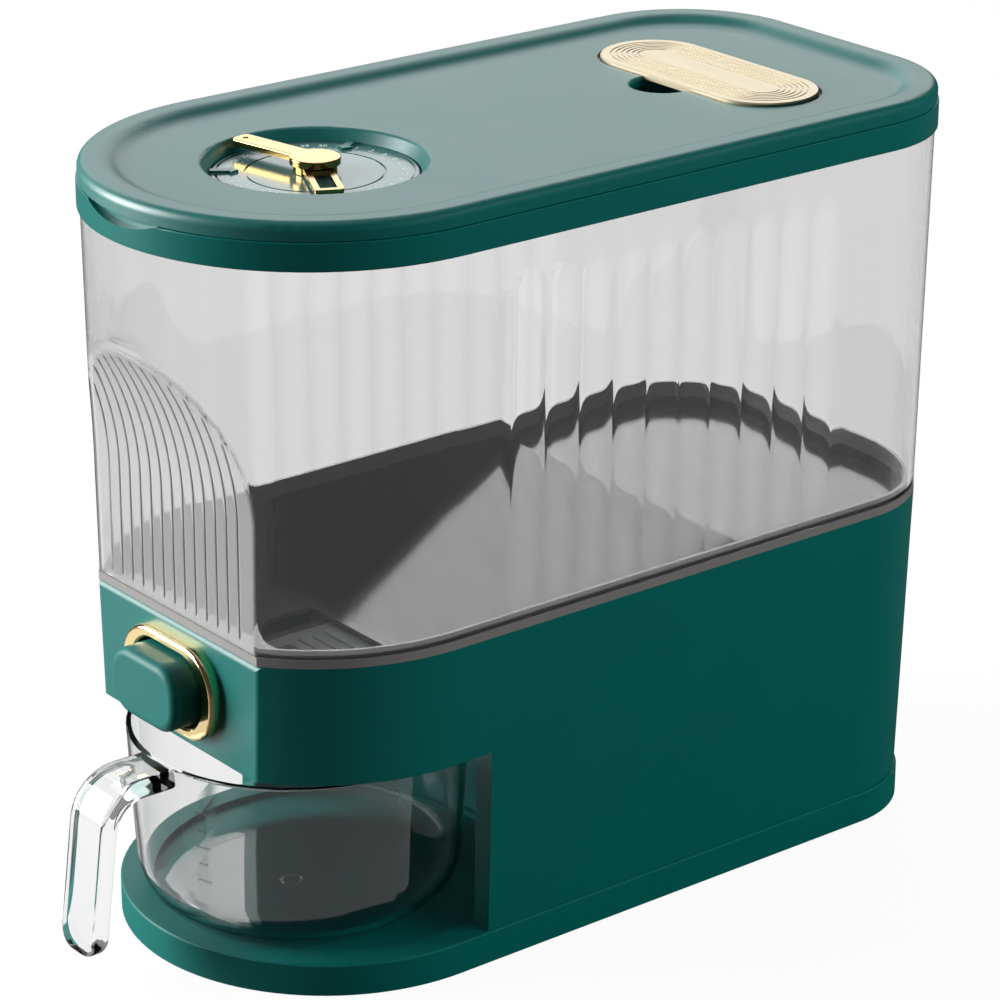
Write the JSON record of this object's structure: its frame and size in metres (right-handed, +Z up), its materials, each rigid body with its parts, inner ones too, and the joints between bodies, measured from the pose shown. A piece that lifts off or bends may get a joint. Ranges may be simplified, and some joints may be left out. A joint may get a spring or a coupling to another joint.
{
  "type": "rice dispenser",
  "caption": "Press-type rice dispenser: clear fluted hopper on a green base, hinged lid with a date dial and gold cover, press gate and clear measuring cup in a bay.",
  "frame": {"origin": "bottom centre of the bounding box, on the floor under the rubber feet", "axes": "+Z up, +Y towards the back (the button faces -Y), +X to the right seen from the front"},
  "size_m": [0.1836, 0.4054, 0.3215],
  "materials": {
    "green_shell": "satin moulded plastic",
    "clear_shell": "clear polished plastic",
    "grey_inner": "smooth grey plastic",
    "gold_trim": "satin gold plated plastic",
    "dial_face": "glossy dial",
    "soft_rubber": "soft rubber",
    "pale_seal": "translucent silicone",
    "steel": "plain steel",
    "white_inner": "plain white plastic",
    "sachet": "non-woven sachet"
  },
  "bodies": {
    "base": {"foot_plate": "green_shell", "rubber_feet": "soft_rubber", "plate_screws": "steel", "base_housing": "green_shell", "funnel_tray": "grey_inner", "outlet_chute": "grey_inner", "chute_screws": "steel", "spring_bridge": "white_inner", "bridge_screws": "steel", "return_spring": "steel", "button_bezel": "gold_trim", "hopper": "clear_shell", "top_collar": "green_shell", "hinge_pin": "steel"},
    "button": {"push_button": "green_shell", "gate_slider": "white_inner"},
    "lid": {"lid": "green_shell", "lid_seal": "pale_seal", "dial_plate": "dial_face", "dial_clips": "green_shell", "dial_post": "steel"},
    "short_hand": {"short_hand": "gold_trim"},
    "long_hand": {"long_hand": "gold_trim"},
    "moisture_cover": {"compartment_cover": "gold_trim", "moisture_box": "white_inner", "desiccant_pack": "sachet"},
    "cup": {"measuring_cup": "clear_shell"}
  },
  "joints": [
    {"name": "button_press", "type": "slide", "parent": "base", "child": "button", "axis": [0, 1, 0], "range_m": [0, 0.01], "stiffness_N_per_m": 800, "springref_m": -0.006, "deforming": ["return_spring"]},
    {"name": "lid_hinge", "type": "hinge", "parent": "base", "child": "lid", "pos_m": [0, 0.19995, 0.314], "axis": [-1, 0, 0], "range_deg": [0, 100]},
    {"name": "short_hand_turn", "type": "hinge", "parent": "lid", "child": "short_hand", "pos_m": [0, -0.08075, 0.3134], "axis": [0, 0, 1], "continuous": true},
    {"name": "long_hand_turn", "type": "hinge", "parent": "lid", "child": "long_hand", "pos_m": [0, -0.08075, 0.3134], "axis": [0, 0, 1], "continuous": true},
    {"name": "cover_lift", "type": "slide", "parent": "lid", "child": "moisture_cover", "axis": [0, 0, 1], "range_m": [0, 0.04]},
    {"name": "cup_draw", "type": "slide", "parent": "base", "child": "cup", "axis": [0, -0.9578, 0.2873], "range_m": [0, 0.022]}
  ]
}
